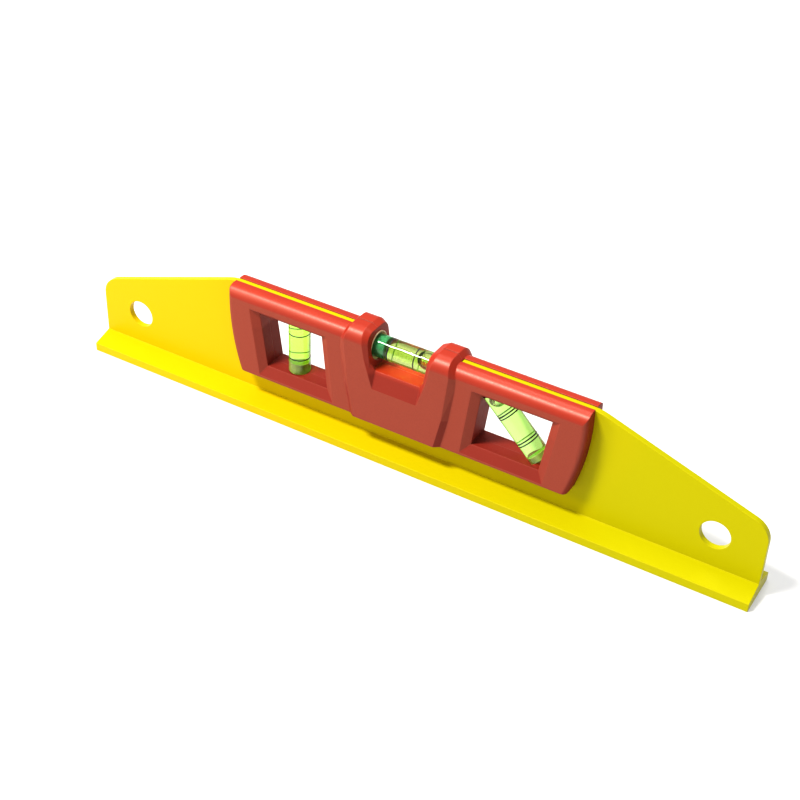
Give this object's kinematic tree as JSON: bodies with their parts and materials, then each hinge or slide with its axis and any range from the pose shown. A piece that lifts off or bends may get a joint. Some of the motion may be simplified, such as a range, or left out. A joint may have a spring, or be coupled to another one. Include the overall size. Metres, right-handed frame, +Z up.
{
  "type": "magnetic spirit level",
  "caption": "Magnetic spirit level: a painted T-section rail with hanging holes, and a moulded housing for level, plumb and slope vials.",
  "frame": {"origin": "on the floor under the middle of the base, the centre of the bounding box's bottom", "axes": "+X along the rail, +Y towards the rear, +Z up; the front of the housing faces -Y"},
  "size_m": [0.3, 0.0204, 0.0575],
  "materials": {
    "rail_paint": "gloss yellow paint on aluminium",
    "magnet": "matte",
    "housing_plastic": "fine matte faces, polished rounded tops",
    "screw_steel": "zinc plated",
    "vial_acrylic": "clear",
    "vial_liquid": "clear lime liquid",
    "vial_air": "clear air bubble",
    "plug_plastic": "gloss",
    "line_ink": "matte",
    "cushion_plastic": "matte"
  },
  "bodies": {
    "level": {"rail": "rail_paint", "magnet_strip": "magnet", "front_housing": "housing_plastic", "rear_housing": "housing_plastic", "housing_screws": "screw_steel", "level_vial_barrel": "vial_acrylic", "level_vial_plug": "plug_plastic", "level_vial_liquid": "vial_liquid", "level_vial_lines": "line_ink", "level_vial_cushions": "cushion_plastic", "plumb_vial_barrel": "vial_acrylic", "plumb_vial_plug": "plug_plastic", "plumb_vial_liquid": "vial_liquid", "plumb_vial_lines": "line_ink", "slope_vial_barrel": "vial_acrylic", "slope_vial_plug": "plug_plastic", "slope_vial_liquid": "vial_liquid", "slope_vial_lines": "line_ink"},
    "level_bubble": {"level_vial_bubble": "vial_air"},
    "plumb_bubble": {"plumb_vial_bubble": "vial_air"},
    "slope_bubble": {"slope_vial_bubble": "vial_air"}
  },
  "joints": [
    {"name": "level_bubble_travel", "type": "slide", "parent": "level", "child": "level_bubble", "axis": [1, 0, 0], "range_m": [-0.0136, 0], "deforming": ["level_vial_liquid"]},
    {"name": "plumb_bubble_travel", "type": "slide", "parent": "level", "child": "plumb_bubble", "axis": [0, 0, 1], "range_m": [-0.0188, 0], "stiffness_N_per_m": 1, "springref_m": 0.005, "deforming": ["plumb_vial_liquid"]},
    {"name": "slope_bubble_travel", "type": "slide", "parent": "level", "child": "slope_bubble", "axis": [-0.7071, 0, 0.7071], "range_m": [-0.022, 0], "stiffness_N_per_m": 1, "springref_m": 0.005, "deforming": ["slope_vial_liquid"]}
  ]
}
